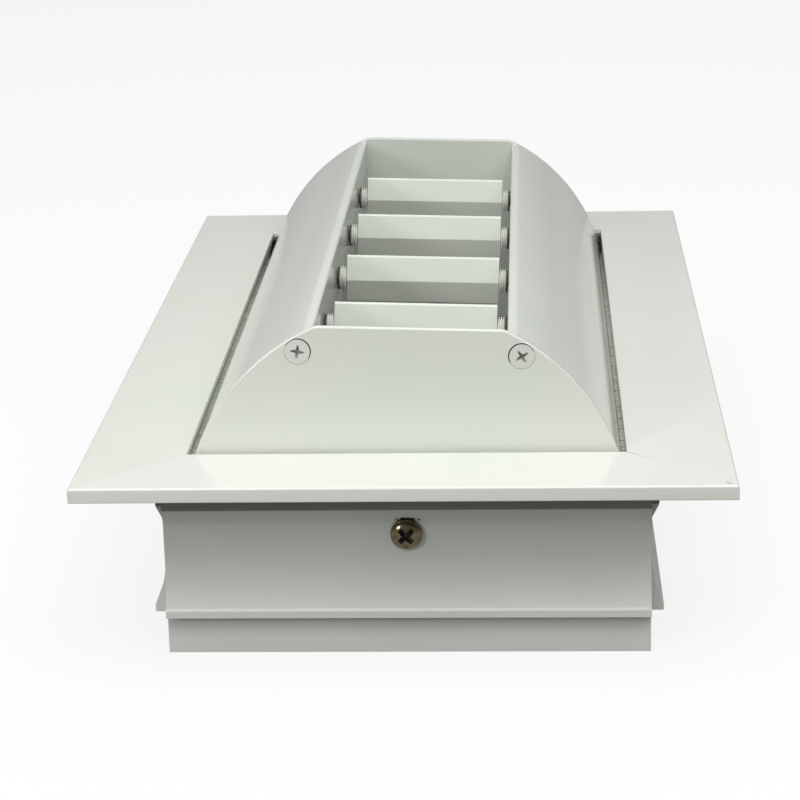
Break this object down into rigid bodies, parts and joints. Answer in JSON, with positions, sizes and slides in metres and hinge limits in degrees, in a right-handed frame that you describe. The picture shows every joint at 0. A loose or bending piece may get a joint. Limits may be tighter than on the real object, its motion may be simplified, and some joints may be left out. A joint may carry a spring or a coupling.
{
  "type": "louvred air grille",
  "caption": "Drum louvre air grille: a mitred flanged frame with a neck, a drum with curved sides that turns in it, and adjustable blades across the drum's slot.",
  "frame": {"origin": "centre of the neck's bottom face, on the plane the grille stands on", "axes": "+Z out of the flange's face, through the drum's slot; +Y along the drum's axis, away from the pictured end; +X across the drum"},
  "size_m": [0.2, 0.35, 0.1037],
  "materials": {
    "powder_coat": "satin",
    "blade_coat": "satin",
    "screw_coat": "satin",
    "white_nylon": "satin",
    "woven_pile": "matte",
    "yellow_zinc": "satin",
    "bright_zinc": "satin",
    "mill_aluminium": "satin"
  },
  "bodies": {
    "frame": {"frame_front": "powder_coat", "frame_right": "powder_coat", "frame_back": "powder_coat", "frame_left": "powder_coat", "corner_key_front_left": "mill_aluminium", "corner_key_front_right": "mill_aluminium", "corner_key_back_right": "mill_aluminium", "corner_key_back_left": "mill_aluminium", "pile_seal_front": "woven_pile", "pile_seal_right": "woven_pile", "pile_seal_back": "woven_pile", "pile_seal_left": "woven_pile", "pivot_screw_front": "yellow_zinc", "pivot_bush_front": "white_nylon", "pivot_washer_front": "bright_zinc", "pivot_nut_front": "bright_zinc", "pivot_screw_back": "yellow_zinc", "pivot_bush_back": "white_nylon", "pivot_washer_back": "bright_zinc", "pivot_nut_back": "bright_zinc"},
    "drum": {"drum_skin_left": "powder_coat", "drum_skin_right": "powder_coat", "drum_end_front": "powder_coat", "drum_end_back": "powder_coat", "end_screw_front_upper_left": "screw_coat", "end_screw_front_upper_right": "screw_coat", "end_screw_front_lower_left": "screw_coat", "end_screw_front_lower_right": "screw_coat", "end_screw_back_upper_left": "screw_coat", "end_screw_back_upper_right": "screw_coat", "end_screw_back_lower_left": "screw_coat", "end_screw_back_lower_right": "screw_coat"},
    "blade_1": {"blade_1": "blade_coat", "blade_1_bush_left": "white_nylon", "blade_1_bush_right": "white_nylon"},
    "blade_2": {"blade_2": "blade_coat", "blade_2_bush_left": "white_nylon", "blade_2_bush_right": "white_nylon"},
    "blade_3": {"blade_3": "blade_coat", "blade_3_bush_left": "white_nylon", "blade_3_bush_right": "white_nylon"},
    "blade_4": {"blade_4": "blade_coat", "blade_4_bush_left": "white_nylon", "blade_4_bush_right": "white_nylon"}
  },
  "joints": [
    {"name": "drum_turn", "type": "hinge", "parent": "frame", "child": "drum", "pos_m": [0, 0, 0.0396], "axis": [0, 1, 0], "range_deg": [-25.78, 22.22]},
    {"name": "blade_1_turn", "type": "hinge", "parent": "drum", "child": "blade_1", "pos_m": [0.00152, -0.0915, 0.08863], "axis": [0.9995, 0, -0.0311], "range_deg": [-90, 90]},
    {"name": "blade_2_turn", "type": "hinge", "parent": "drum", "child": "blade_2", "pos_m": [0.00152, -0.0305, 0.08863], "axis": [0.9995, 0, -0.0311], "range_deg": [-90, 90]},
    {"name": "blade_3_turn", "type": "hinge", "parent": "drum", "child": "blade_3", "pos_m": [0.00152, 0.0305, 0.08863], "axis": [0.9995, 0, -0.0311], "range_deg": [-90, 90]},
    {"name": "blade_4_turn", "type": "hinge", "parent": "drum", "child": "blade_4", "pos_m": [0.00152, 0.0915, 0.08863], "axis": [0.9995, 0, -0.0311], "range_deg": [-90, 90]}
  ]
}
